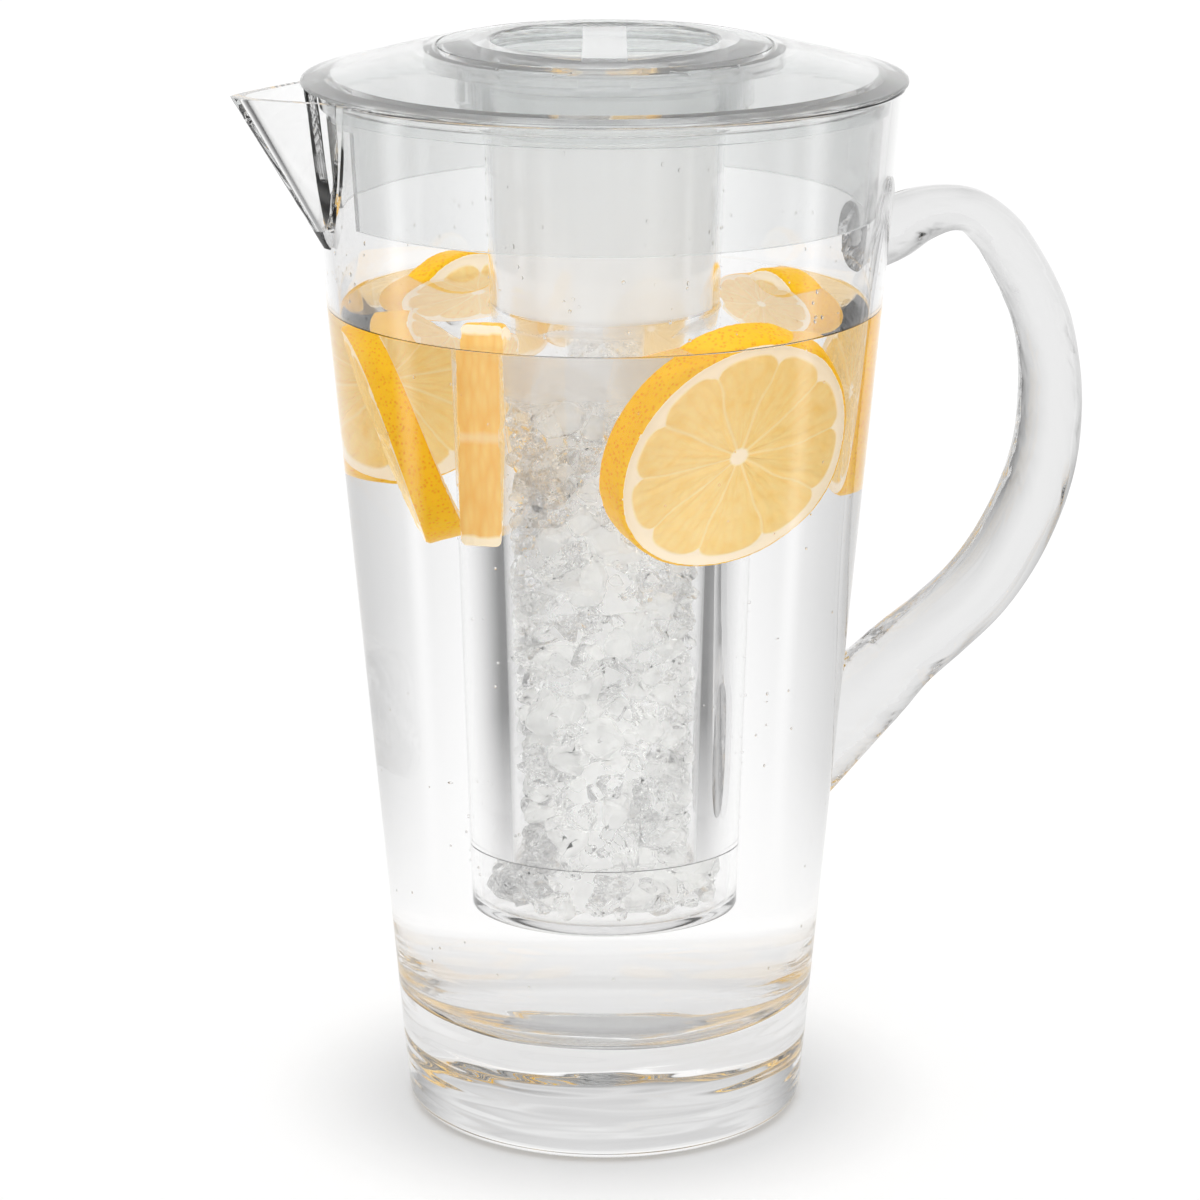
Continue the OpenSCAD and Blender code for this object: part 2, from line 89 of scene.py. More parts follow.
def turned_mesh(name, profile, turns=TURNS):
    """A closed mesh: the outline turned about the axis. Ends on the axis close to a point."""
    points = with_loops(profile)
    mesh = bmesh.new()
    rings = []
    for r, z in points:
        if r < 1e-7:
            rings.append([mesh.verts.new((0, 0, z))])
        else:
            rings.append([mesh.verts.new((r * math.cos(math.tau * i / turns),
                                          r * math.sin(math.tau * i / turns), z)) for i in range(turns)])
    pairs = list(zip(rings, rings[1:]))
    if len(rings[0]) > 1:
        pairs.append((rings[-1], rings[0]))
    for low, high in pairs:
        for i in range(turns):
            k = (i + 1) % turns
            if len(low) == 1 and len(high) > 1:
                mesh.faces.new((low[0], high[k], high[i]))
            elif len(high) == 1 and len(low) > 1:
                mesh.faces.new((low[i], low[k], high[0]))
            elif len(low) > 1:
                mesh.faces.new((low[i], low[k], high[k], high[i]))
    return made(name, mesh)


def made(name, mesh, sharp=32):
    """Turns mesh data into a smooth object whose edges above the angle stay sharp."""
    bmesh.ops.recalc_face_normals(mesh, faces=mesh.faces)
    data = bpy.data.meshes.new(name)
    mesh.to_mesh(data)
    mesh.free()
    piece = bpy.data.objects.new(name, data)
    bpy.context.scene.collection.objects.link(piece)
    shade(piece, sharp)
    return piece


def shade(piece, sharp=32):
    piece.data.polygons.foreach_set("use_smooth", [True] * len(piece.data.polygons))
    piece.data.set_sharp_from_angle(angle=math.radians(sharp))


def cut(piece, cutter):
    """Cuts the piece with the cutter and removes the cutter."""
    modifier = piece.modifiers.new("cut", "BOOLEAN")
    modifier.operation = "DIFFERENCE"
    modifier.solver = "EXACT"
    modifier.object = cutter
    bpy.context.view_layer.update()
    ready = piece.evaluated_get(bpy.context.evaluated_depsgraph_get())
    data = bpy.data.meshes.new_from_object(ready)
    piece.modifiers.clear()
    piece.data = data
    bpy.data.objects.remove(cutter)
    shade(piece)


def extruded(name, outline, way, start, length):
    """A closed prism: an outline of 3-D points pushed along a direction."""
    mesh = bmesh.new()
    near = [mesh.verts.new(Vector(p) + way * start) for p in outline]
    far = [mesh.verts.new(Vector(p) + way * (start + length)) for p in outline]
    mesh.faces.new(near)
    mesh.faces.new(far)
    for i in range(len(outline)):
        k = (i + 1) % len(outline)
        mesh.faces.new((near[i], near[k], far[k], far[i]))
    return made(name, mesh)


def colour(text):
    """sRGB hex to the linear colour that a shader takes."""
    parts = [int(text[i:i + 2], 16) / 255 for i in (1, 3, 5)]
    return (*[c / 12.92 if c <= 0.04045 else ((c + 0.055) / 1.055) ** 2.4 for c in parts], 1)


def material_of(name, **settings):
    """A new material and its main shader, with the shader's sockets set."""
    material = bpy.data.materials.new(name)
    material.use_nodes = True
    shader = material.node_tree.nodes["Principled BSDF"]
    for socket, value in settings.items():
        shader.inputs[socket.replace("_", " ")].default_value = value
    return material, shader


def add(owner, kind, settings=None):
    """Adds one node. A key that names a socket sets it or links it, and any other sets the node itself."""
    node = owner.node_tree.nodes.new("ShaderNode" + kind)
    for key, value in (settings or {}).items():
        if isinstance(value, bpy.types.NodeSocket):
            owner.node_tree.links.new(value, node.inputs[key])
        elif isinstance(key, int) or key in node.inputs:
            node.inputs[key].default_value = value
        else:
            setattr(node, key, value)
    return node


def clear_acrylic(name, tint, roughness, ripple_mm, scuff_share):
    """Polished cast acrylic: crisp refraction, with faint ripples of the mould and fine rub marks."""
    material, shader = material_of(name, Base_Color=colour(tint), IOR=1.49, Transmission_Weight=1.0)
    place = add(material, "TexCoord")
    rub = add(material, "TexNoise",
              {"Scale": 1 / (14 * MM), "Detail": 4.0, "Vector": place.outputs["Object"]})
    level = add(material, "MapRange",
                {"From Min": 0.45, "From Max": 0.8, "To Min": roughness,
                 "To Max": roughness + scuff_share, "Value": rub.outputs["Fac"]})
    wave = add(material, "TexNoise",
               {"Scale": 1 / (ripple_mm * MM), "Detail": 1.0, "Vector": place.outputs["Object"]})
    bump = add(material, "Bump",
               {"Strength": 0.25, "Distance": 0.06 * MM, "Height": wave.outputs["Fac"]})
    material.node_tree.links.new(level.outputs["Result"], shader.inputs["Roughness"])
    material.node_tree.links.new(bump.outputs["Normal"], shader.inputs["Normal"])
    return material


lean = math.degrees(math.atan((RIM_R - BASE_R) / RIM_Z))
curve_z = FLOOR_Z + FLOOR_RISE
rim_low = RIM_Z - RIM_ROUND
FLOOR_CURVE = arc((FLOOR_R, curve_z), inner_r(curve_z) - FLOOR_R, FLOOR_RISE, 0, -90, 24)
body_profile = [(0, 0)]
body_profile += arc((outer_r(FOOT_ROUND) - FOOT_ROUND, FOOT_ROUND), FOOT_ROUND, FOOT_ROUND, -90, -lean, 12)
body_profile += arc((outer_r(rim_low) - RIM_ROUND, rim_low), RIM_ROUND, RIM_ROUND, 0, 90, 6)
body_profile += arc((inner_r(rim_low) + RIM_ROUND, rim_low), RIM_ROUND, RIM_ROUND, 90, 180, 6)
body_profile += FLOOR_CURVE
body_profile += [(0, FLOOR_Z)]
pitcher = turned_mesh("pitcher_tumbler", body_profile)

SPOUT_H = 40 * MM
SPOUT_HALF_W = 21 * MM
SPOUT_WALL = 2.6 * MM
OPENING_STEPS = 24
opening_w = SPOUT_HALF_W - SPOUT_WALL - 1.4 * MM
opening_h = SPOUT_H - 7 * MM
past_rim = RIM_Z + 4 * MM
opening = [(0, opening_w, past_rim), (0, opening_w, RIM_Z)]
for i in range(1, OPENING_STEPS):
    a = math.pi * i / OPENING_STEPS
    opening.append((0, opening_w * math.cos(a), RIM_Z - opening_h * math.sin(a)))
opening += [(0, -opening_w, RIM_Z), (0, -opening_w, past_rim)]
cut(pitcher, extruded("opening_cutter", opening, Vector((-1, 0, 0)), 20 * MM, RIM_R))
acrylic = clear_acrylic("cast_acrylic_polished", "#FFFFFF", 0.0, 60, 0.012)
# The thick base was cast slowly and is faintly wavy, which bends the light there in soft rings
cast = clear_acrylic("cast_acrylic_base", "#FFFFFF", 0.0, 60, 0.012)
cast_shader = cast.node_tree.nodes["Principled BSDF"]
place = add(cast, "TexCoord")
spot = add(cast, "SeparateXYZ", {"Vector": place.outputs["Object"]})
low = add(cast, "MapRange", {"From Min": 44 * MM, "From Max": 26 * MM, "Value": spot.outputs["Z"]})
sink = add(cast, "Mapping", {"Scale": (22.0, 22.0, 190.0), "Vector": place.outputs["Object"]})
wave = add(cast, "TexNoise", {"Scale": 1.0, "Detail": 1.0, "Vector": sink.outputs["Vector"]})
deep = add(cast, "Math", {"operation": "MULTIPLY", 0: low.outputs["Result"], 1: wave.outputs["Fac"]})
bump = add(cast, "Bump", {"Strength": 0.8, "Distance": 0.8 * MM, "Height": deep.outputs["Value"]})
cast.node_tree.links.new(bump.outputs["Normal"], cast_shader.inputs["Normal"])
pitcher.data.materials.append(cast)
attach(pitcher, "pitcher")
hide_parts("pitcher_body")

# Spout
# Thin acrylic sheet, folded to a V while hot and solvent-welded to the wall over the opening.
# Its sides come together in a keel that runs straight from the root down low to the tip.

SPOUT_REACH = 23 * MM
SPOUT_COLS = 20
SPOUT_ROWS = 26
SPOUT_SINK = 0.5 * MM
KEEL_ROUND = 0.05


def spout_level(z, reach, half_w, root):
    """One level of the spout: the V from one weld edge to the other, closed inside the wall."""
    chord = math.sqrt(outer_r(z) ** 2 - half_w ** 2)
    far = math.sqrt(1 + KEEL_ROUND)
    near = math.sqrt(KEEL_ROUND)
    level = []
    for i in range(-SPOUT_COLS, SPOUT_COLS + 1):
        u = -i / SPOUT_COLS
        v = (far - math.sqrt(u * u + KEEL_ROUND)) / (far - near)
        level.append((-(chord - SPOUT_SINK + (reach + SPOUT_SINK) * v), u * half_w, z))
    level.append((-(chord - root), -half_w, z))
    level.append((-(chord - root), half_w, z))
    return level


def loft(name, levels, sharp=32):
    """A closed mesh through levels that all have the same number of points."""
    mesh = bmesh.new()
    rings = [[mesh.verts.new(p) for p in level] for level in levels]
    for low, high in zip(rings, rings[1:]):
        for i in range(len(low)):
            k = (i + 1) % len(low)
            mesh.faces.new((low[i], low[k], high[k], high[i]))
    mesh.faces.new(rings[0])
    mesh.faces.new(rings[-1])
    return made(name, mesh, sharp)


def wall_cone(name):
    """Everything inside the wall, which the welded pieces are cut back to."""
    low, high = -10 * MM, RIM_Z + 10 * MM
    cone = [(0, low), (outer_r(low) - BITE, low), (outer_r(high) - BITE, high), (0, high)]
    return turned_mesh(name, cone)


spout_low = RIM_Z - SPOUT_H
pocket_low = spout_low + SPOUT_WALL * 2
shares = [0.04 + 0.96 * (i / SPOUT_ROWS) ** 2 for i in range(SPOUT_ROWS + 1)]
spout = loft("spout_fold", [spout_level(spout_low + SPOUT_H * t, SPOUT_REACH * t,
                                        SPOUT_HALF_W * math.sqrt(t), 2 * MM) for t in shares], 25)
pocket = loft("pocket", [spout_level(pocket_low + (RIM_Z + 1 * MM - pocket_low) * t,
                                     (SPOUT_REACH - SPOUT_WALL * 1.5) * t,
                                     (SPOUT_HALF_W - SPOUT_WALL) * math.sqrt(t), 4 * MM) for t in shares])
cut(spout, pocket)
cut(spout, wall_cone("spout_trim"))
spout.data.materials.append(acrylic)
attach(spout, "pitcher")
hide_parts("spout")

# Handle
# One thick bar of acrylic, bent hot into an open loop and solvent-welded to the wall at both ends.
# Its section is a soft rectangle that is thinner at the top bend and swells towards both welds.

HANDLE_OUT = 130 * MM
HANDLE_TOP = 237 * MM
HANDLE_FOOT = 76.5 * MM
HANDLE_THICK = 16 * MM
HANDLE_W = 17 * MM
HANDLE_MIDDLE = (74 * MM, 0, 158 * MM)
# Out from the wall, up from the foot, and thickness, each as a share of the sizes above
handle_shares = [
    (0.02, 0.905, 1.18), (0.253, 0.931, 1.0), (0.371, 0.953, 0.84), (0.48, 0.962, 0.72),
    (0.576, 0.954, 0.72), (0.655, 0.926, 0.775), (0.712, 0.894, 0.81), (0.792, 0.831, 0.86),
    (0.848, 0.773, 0.89), (0.879, 0.708, 0.93), (0.89, 0.635, 1.0), (0.878, 0.558, 1.04),
    (0.842, 0.495, 1.09), (0.788, 0.436, 1.125), (0.713, 0.377, 1.15), (0.613, 0.321, 1.175),
    (0.484, 0.271, 1.19), (0.345, 0.224, 1.25), (0.228, 0.176, 1.38), (0.045, 0.109, 1.64),
    (-0.155, 0.034, 1.9)]


def spline(table, s):
    """A smooth curve through the rows of a table, at position s counted in rows."""
    last = len(table) - 1
    i = min(int(s), last - 1)
    t = s - i
    rows = [Vector(table[min(max(i + k, 0), last)]) for k in (-1, 0, 1, 2)]
    square = rows[0] * 2 - rows[1] * 5 + rows[2] * 4 - rows[3]
    cube = rows[1] * 3 - rows[0] - rows[2] * 3 + rows[3]
    return (rows[1] * 2 + (rows[2] - rows[0]) * t + square * t * t + cube * t ** 3) / 2


def handle_levels(steps, around):
    """The outlines of the bar's section all along it, thicker where the table says and at both welds."""
    root = outer_r(HANDLE_FOOT) - WALL / 2
    reach = HANDLE_OUT - root
    rise = HANDLE_TOP - HANDLE_FOOT
    last = len(handle_shares) - 1
    levels = []
    for i in range(last * steps + 1):
        s = i / steps
        here = spline(handle_shares, s)
        ahead = spline(handle_shares, min(s + 0.25, last))
        behind = spline(handle_shares, max(s - 0.25, 0))
        along = Vector(((ahead[0] - behind[0]) * reach, (ahead[1] - behind[1]) * rise)).normalized()
        flare = 1 + 0.2 * max(0, 1 - min(s, last - s) / 3)
        level = []
        for j in range(around):
            a = math.tau * j / around
            c, d = math.cos(a), math.sin(a)
            across = math.copysign(abs(c) ** 0.8, c) * HANDLE_W / 2 * flare
            through = math.copysign(abs(d) ** 0.8, d) * here[2] * HANDLE_THICK / 2
            level.append((root + here[0] * reach - along[1] * through, across,
                          HANDLE_FOOT + here[1] * rise + along[0] * through))
        levels.append(level)
    return levels


handle = loft("handle_bar", handle_levels(6, 64), 40)
cut(handle, wall_cone("handle_trim"))
shade(handle, 40)
# Bending drew the bar out, which leaves faint streaks that run along it round its middle
handle_acrylic = clear_acrylic("thick_acrylic_bent", "#EAEAEA", 0.0, 30, 0.02)
handle_shader = handle_acrylic.node_tree.nodes["Principled BSDF"]
place = add(handle_acrylic, "TexCoord")
from_middle = add(handle_acrylic, "VectorMath",
                  {"operation": "SUBTRACT", 1: HANDLE_MIDDLE, 0: place.outputs["Object"]})
spot = add(handle_acrylic, "SeparateXYZ", {"Vector": from_middle.outputs["Vector"]})
turn = add(handle_acrylic, "Math", {"operation": "ARCTAN2", 0: spot.outputs["Z"], 1: spot.outputs["X"]})
far = add(handle_acrylic, "VectorMath", {"operation": "LENGTH", 0: from_middle.outputs["Vector"]})
drawn = add(handle_acrylic, "CombineXYZ",
            {"X": far.outputs["Value"], "Y": spot.outputs["Y"], "Z": turn.outputs["Value"]})
long_way = add(handle_acrylic, "VectorMath",
               {"operation": "MULTIPLY", 1: (1 / (5 * MM), 1 / (5 * MM), 0.9),
                0: drawn.outputs["Vector"]})
streak = add(handle_acrylic, "TexNoise",
             {"Scale": 1.0, "Detail": 1.5, "Vector": long_way.outputs["Vector"]})
bump = add(handle_acrylic, "Bump",
           {"Strength": 0.9, "Distance": 0.9 * MM, "Height": streak.outputs["Fac"]})
handle_acrylic.node_tree.links.new(bump.outputs["Normal"], handle_shader.inputs["Normal"])
handle.data.materials.append(handle_acrylic)
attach(handle, "pitcher")
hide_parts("handle")

# Drink
# Plain water, filled to about four fifths, with a small meniscus where it climbs the wall and the tube.
# It has no solid of its own in the frame, because it is a liquid, and it goes with the pitcher.

WATER_Z = 212 * MM
TUBE_TOP_R = 30.4 * MM
TUBE_END_R = 25 * MM
TUBE_END_Z = 54.5 * MM
TUBE_TOP_Z = 267.2 * MM
TUBE_ROUND = 3 * MM
MENISCUS_H = 0.5 * MM
MENISCUS_W = 1.2 * MM


def tube_r(z):
    return TUBE_END_R + (TUBE_TOP_R - TUBE_END_R) * (z - TUBE_END_Z) / (TUBE_TOP_Z - TUBE_END_Z)


def water_of(name, tint):
    """Still water: nearly colourless, IOR 1.333, perfectly smooth but for a slow swell."""
    material, shader = material_of(name, Base_Color=colour(tint), IOR=1.333, Roughness=0.0,
                                   Transmission_Weight=1.0)
    place = add(material, "TexCoord")
    swell = add(material, "TexNoise",
                {"Scale": 1 / (35 * MM), "Detail": 0.0, "Vector": place.outputs["Object"]})
    bump = add(material, "Bump",
               {"Strength": 0.2, "Distance": 0.05 * MM, "Height": swell.outputs["Fac"]})
    material.node_tree.links.new(bump.outputs["Normal"], shader.inputs["Normal"])
    return material


def meniscus(wall_r, way, z):
    """The curved edge of a water surface that meets a wall at radius wall_r, going inwards or outwards."""
    steps = 8
    return [(wall_r + way * MENISCUS_W * (i / steps), z + MENISCUS_H * (1 - i / steps) ** 3)
            for i in range(steps + 1)]


water_profile = [(0, FLOOR_Z - BITE)]
water_profile += [(r + BITE * 0.7, z - BITE * 0.7) for r, z in reversed(FLOOR_CURVE)]
water_profile += meniscus(inner_r(WATER_Z) + BITE, -1, WATER_Z)
water_profile += list(reversed(meniscus(tube_r(WATER_Z) - BITE, 1, WATER_Z)))
water_profile += arc((TUBE_END_R - TUBE_ROUND, TUBE_END_Z + TUBE_ROUND), TUBE_ROUND - BITE,
                     TUBE_ROUND - BITE, 0, -90, 8)
water_profile += [(0, TUBE_END_Z + BITE)]
water = turned_mesh("drink_water", water_profile)
water_material = water_of("drinking_water", "#FFFFFF")
water.data.materials.append(water_material)
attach(water, "pitcher")

# Lemon slices
# Round slices and two halves cut from fresh lemons, floating against the wall just under the surface.
# Each has pitted waxy zest, a cream ring of pith, and glistening segments between thin membranes.

LEMON_R = 32 * MM
LEMON_T = 10 * MM
ZEST_ROUND = 1.4 * MM
ZEST_T = 0.9 * MM
PITH_T = 2.3 * MM
SEGMENT_CORNER = 2.6 * MM
SEGMENTS = 10
# Share of a lemon's colour that is painted on as glow, a painted light that brightens it
PAINTED_GLOW_SHARE = 0.34


def seated(at, z, r, azimuth, lift, sweep):
    """Place and turn of a slice that leans on the inside of the wall, as in the frame."""
    tip = math.radians(90 - lift)
    way = math.radians(azimuth)
    turn = Matrix.Rotation(way, 4, "Z") @ Matrix.Rotation(tip, 4, "Y")
    out = Vector((math.cos(math.radians(at)), math.sin(math.radians(at)), 0))
    d = (inner_r(z) + tube_r(z)) / 2
    for _ in range(8):
        worst = -1
        for a in range(0, sweep + 1, 10):
            for side in (-1, 1):
                q = turn @ Vector((r * math.cos(math.radians(a)), r * math.sin(math.radians(a)),
                                   side * LEMON_T / 2)) + out * d
                worst = max(worst, math.hypot(q.x, q.y) - inner_r(z + q.z))
        d -= worst + 0.4 * MM
    return Matrix.Translation(out * d + Vector((0, 0, z))) @ turn


def segment_shape(x, y, radius, seed):
    """How deep a point lies inside a juicy segment with rounded corners, from 0 on pith to 1."""
    r = math.hypot(x, y)
    limit = radius - ZEST_T - PITH_T
    turn = math.atan2(y, x) / math.tau * SEGMENTS + seed
    turn += 0.16 * noise.noise((x * 90, y * 90, seed))
    t = abs(turn - round(turn))
    beside = r * math.tau / SEGMENTS * t - 0.3 * MM
    outside = limit - r - SEGMENT_CORNER * (1 - 2 * t) ** 4
    inside = r - 2.2 * MM
    return max(0.0, min(1.0, min(beside, outside, inside) / (0.9 * MM)))


def lemon_mesh(name, radius, sweep, seed):
    """A slice or a half slice with its axis along Z: zest with pores, pith, and plump segments."""
    around = 360 if sweep == 360 else 180
    half = LEMON_T / 2
    face_r = radius - ZEST_ROUND
    rings = 56
    outline = [(face_r * i / rings, half) for i in range(1, rings + 1)]
    outline += arc((face_r, half - ZEST_ROUND), ZEST_ROUND, ZEST_ROUND, 80, 0, 6)
    outline += [(radius, half * 0.6 * (1 - i / 6)) for i in range(1, 7)]
    full = outline + [(r, -z) for r, z in reversed(outline[:-1])]
    mesh = bmesh.new()
    columns = around + (0 if sweep == 360 else 1)
    grid = []
    for j in range(columns):
        a = math.radians(sweep) * j / around
        column = []
        for r, z in full:
            x, y = r * math.cos(a), r * math.sin(a)
            if abs(z) > half - 1e-6:
                side = 1 if z > 0 else -1
                deep = segment_shape(x, y, radius, seed)
                pulp = 0.35 * noise.noise((x * 700, y * 700, seed))
                pulp += 0.2 * noise.noise((x * 1500, y * 1500, 3))
                if r < radius - ZEST_T - PITH_T * 0.4:
                    z -= side * MM * (0.25 - deep * (0.35 + pulp * 0.6))
            else:
                pore = noise.noise((x * 900, y * 900, z * 900 + seed)) * 0.14 * MM
                lump = noise.noise((x * 120, y * 120, z * 120 + seed)) * 0.25 * MM
                grow = 1 + (pore + lump - 0.3 * MM) / radius
                x, y = x * grow, y * grow
            column.append(mesh.verts.new((x, y, z)))
        grid.append(column)
    top = mesh.verts.new((0, 0, half - 0.2 * MM))
    low = mesh.verts.new((0, 0, -half + 0.2 * MM))
    for j in range(around):
        a, b = grid[j], grid[(j + 1) % columns]
        for i in range(len(full) - 1):
            mesh.faces.new((a[i], a[i + 1], b[i + 1], b[i]))
        mesh.faces.new((top, a[0], b[0]))
        mesh.faces.new((low, b[-1], a[-1]))
    if sweep != 360:
        count = len(full)
        for column in (grid[0], grid[-1]):
            middle = [mesh.verts.new((v.co.x, 0, 0)) for v in column[:count // 2 + 1]]
            for i in range(count // 2):
                mesh.faces.new((column[i], column[i + 1], middle[i + 1], middle[i]))
                mesh.faces.new((column[-1 - i], column[-2 - i], middle[i + 1], middle[i]))
        bmesh.ops.remove_doubles(mesh, verts=mesh.verts, dist=0.0005 * MM)
        centre = mesh.verts.new((0, 0, 0))
        for e in [e for e in mesh.edges if len(e.link_faces) == 1]:
            mesh.faces.new((e.verts[0], e.verts[1], centre))
    piece = made(name, mesh, 50)
    for part in piece.data.polygons:
        c = part.center
        part.material_index = 1 if math.hypot(c.x, c.y) > face_r + ZEST_ROUND * 0.2 else 0
        if sweep != 360 and c.y < 0.12 * MM:
            part.material_index = 2
    return piece


def with_painted_glow(material, shader, tone, share):
    """Sets the colour, and paints a share of it on as glow: painted light that stands in for studio light
    coming through the clear pieces.
    """
    path = add(material, "LightPath")
    seen = add(material, "Math", {"operation": "LESS_THAN", 1: 0.5, 0: path.outputs["Diffuse Depth"]})
    glow = add(material, "Math", {"operation": "MULTIPLY", 1: share, 0: seen.outputs["Value"]})
    material.node_tree.links.new(tone, shader.inputs["Base Color"])
    material.node_tree.links.new(tone, shader.inputs["Emission Color"])
    material.node_tree.links.new(glow.outputs["Value"], shader.inputs["Emission Strength"])


def lemon_middle_cut(radius):
    """The cut through a half slice: long juice sacs, with pith at both ends and in the middle."""
    material, shader = material_of("lemon_middle_cut", Roughness=0.25, IOR=1.36, Specular_IOR_Level=0.2)
    place = add(material, "TexCoord")
    xyz = add(material, "SeparateXYZ", {"Vector": place.outputs["Object"]})
    far = add(material, "Math", {"operation": "ABSOLUTE", 0: xyz.outputs["X"]})
    rough_edge = add(material, "TexNoise",
                     {"Scale": 260.0, "Detail": 2.0, "Vector": place.outputs["Object"]})
    edge = add(material, "Math",
               {"operation": "MULTIPLY_ADD", 1: 1.6 * MM, 0: rough_edge.outputs["Fac"],
                2: far.outputs["Value"]})
    outer = add(material, "MapRange",
                {"From Min": radius - PITH_T, "From Max": radius - PITH_T + MM,
                 "Value": edge.outputs["Value"]})
    inner = add(material, "MapRange",
                {"From Min": 2.6 * MM, "From Max": 1.2 * MM, "To Max": 0.35,
                 "Value": edge.outputs["Value"]})
    pith = add(material, "Math",
               {"operation": "MAXIMUM", 0: outer.outputs["Result"], 1: inner.outputs["Result"]})
    along = add(material, "Mapping", {"Scale": (170.0, 1.0, 620.0), "Vector": place.outputs["Object"]})
    sacs = add(material, "TexVoronoi", {"Scale": 1.0, "Vector": along.outputs["Vector"]})
    pulp = add(material, "Mix",
               {"data_type": "RGBA", 6: colour("#F9D07E"), 7: colour("#F0BA5E"),
                0: sacs.outputs["Distance"]})
    tone = add(material, "Mix",
               {"data_type": "RGBA", 7: colour("#FFF1D2"), 0: pith.outputs["Value"],
                6: pulp.outputs[2]})
    bump = add(material, "Bump",
               {"Strength": 0.6, "Distance": 0.4 * MM, "Height": sacs.outputs["Distance"]})
    with_painted_glow(material, shader, tone.outputs[2], PAINTED_GLOW_SHARE)
    material.node_tree.links.new(bump.outputs["Normal"], shader.inputs["Normal"])
    return material


def lemon_flesh(radius, seed):
    """Cut lemon: cream pith and membranes round translucent yellow pulp with long juice sacs."""
    material, shader = material_of("lemon_cut_face", Roughness=0.22, IOR=1.36, Specular_IOR_Level=0.2)
    place = add(material, "TexCoord")
    xyz = add(material, "SeparateXYZ", {"Vector": place.outputs["Object"]})
    wander = add(material, "TexNoise",
                 {"Scale": 90.0, "Detail": 0.0, "Vector": place.outputs["Object"]})
    turn = add(material, "Math", {"operation": "ARCTAN2", 0: xyz.outputs["Y"], 1: xyz.outputs["X"]})
    count = add(material, "Math",
                {"operation": "MULTIPLY_ADD", 1: SEGMENTS / math.tau, 2: seed,
                 0: turn.outputs["Value"]})
    bent = add(material, "Math",
               {"operation": "MULTIPLY_ADD", 1: 0.32, 0: wander.outputs["Fac"],
                2: count.outputs["Value"]})
    aside = add(material, "Math", {"operation": "PINGPONG", 1: 0.5, 0: bent.outputs["Value"]})
    flat = add(material, "VectorMath",
               {"operation": "MULTIPLY", 1: (1, 1, 0), 0: place.outputs["Object"]})
    far = add(material, "VectorMath", {"operation": "LENGTH", 0: flat.outputs["Vector"]})
    width = add(material, "Math",
                {"operation": "MULTIPLY", 0: far.outputs["Value"], 1: aside.outputs["Value"]})
    beside = add(material, "Math",
                 {"operation": "MULTIPLY_ADD", 1: math.tau / SEGMENTS, 2: -0.12 * MM,
                  0: width.outputs["Value"]})
    corner = add(material, "Math",
                 {"operation": "MULTIPLY_ADD", 1: -2.0, 2: 1.0, 0: aside.outputs["Value"]})
    round_off = add(material, "Math", {"operation": "POWER", 1: 4.0, 0: corner.outputs["Value"]})
    limit = add(material, "Math",
                {"operation": "MULTIPLY_ADD", 1: -SEGMENT_CORNER, 2: radius - ZEST_T - PITH_T,
                 0: round_off.outputs["Value"]})
    outside = add(material, "Math",
                  {"operation": "SUBTRACT", 0: limit.outputs["Value"], 1: far.outputs["Value"]})
    inside = add(material, "Math", {"operation": "SUBTRACT", 1: 2.0 * MM, 0: far.outputs["Value"]})
    least = add(material, "Math",
                {"operation": "MINIMUM", 0: beside.outputs["Value"], 1: outside.outputs["Value"]})
    least = add(material, "Math",
                {"operation": "MINIMUM", 0: least.outputs["Value"], 1: inside.outputs["Value"]})
    juicy = add(material, "MapRange",
                {"From Min": -0.1 * MM, "From Max": 0.9 * MM, "interpolation_type": "SMOOTHSTEP",
                 "Value": least.outputs["Value"]})
    polar = add(material, "CombineXYZ",
                {"Z": seed * 10, "X": turn.outputs["Value"], "Y": far.outputs["Value"]})
    sacs_at = add(material, "VectorMath",
                  {"operation": "MULTIPLY", 1: (11.0, 170.0, 1.0), 0: polar.outputs["Vector"]})
    sacs = add(material, "TexVoronoi",
               {"Scale": 1.0, "Randomness": 1.0, "feature": "F1", "Vector": sacs_at.outputs["Vector"]})
    cloud = add(material, "TexNoise",
                {"Scale": 220.0, "Detail": 3.0, "Vector": place.outputs["Object"]})
    pulp = add(material, "Mix",
               {"data_type": "RGBA", 6: colour("#FBD888"), 7: colour("#F2C25C"),
                0: sacs.outputs["Distance"]})
    mellow = add(material, "Mix",
                 {"data_type": "RGBA", 7: colour("#FCDF9F"), 0: cloud.outputs["Fac"],
                  6: pulp.outputs[2]})
    thin = add(material, "MapRange",
               {"From Min": -0.3 * MM, "From Max": 0.5 * MM, "interpolation_type": "SMOOTHSTEP",
                "Value": beside.outputs["Value"]})
    veined = add(material, "Mix",
                 {"data_type": "RGBA", 6: colour("#FEE3AC"), 0: thin.outputs["Result"],
                  7: mellow.outputs[2]})
    ends = add(material, "Math",
               {"operation": "MINIMUM", 0: outside.outputs["Value"], 1: inside.outputs["Value"]})
    within = add(material, "MapRange",
                 {"From Min": -0.1 * MM, "From Max": 0.9 * MM, "interpolation_type": "SMOOTHSTEP",
                  "Value": ends.outputs["Value"]})
    tone = add(material, "Mix",
               {"data_type": "RGBA", 6: colour("#FFEFD3"), 0: within.outputs["Result"],
                7: veined.outputs[2]})
    height = add(material, "Math",
                 {"operation": "MULTIPLY", 0: sacs.outputs["Distance"], 1: juicy.outputs["Result"]})
    bump = add(material, "Bump",
               {"Strength": 0.5, "Distance": 0.4 * MM, "Height": height.outputs["Value"]})
    with_painted_glow(material, shader, tone.outputs[2], PAINTED_GLOW_SHARE)
    material.node_tree.links.new(bump.outputs["Normal"], shader.inputs["Normal"])
    return material


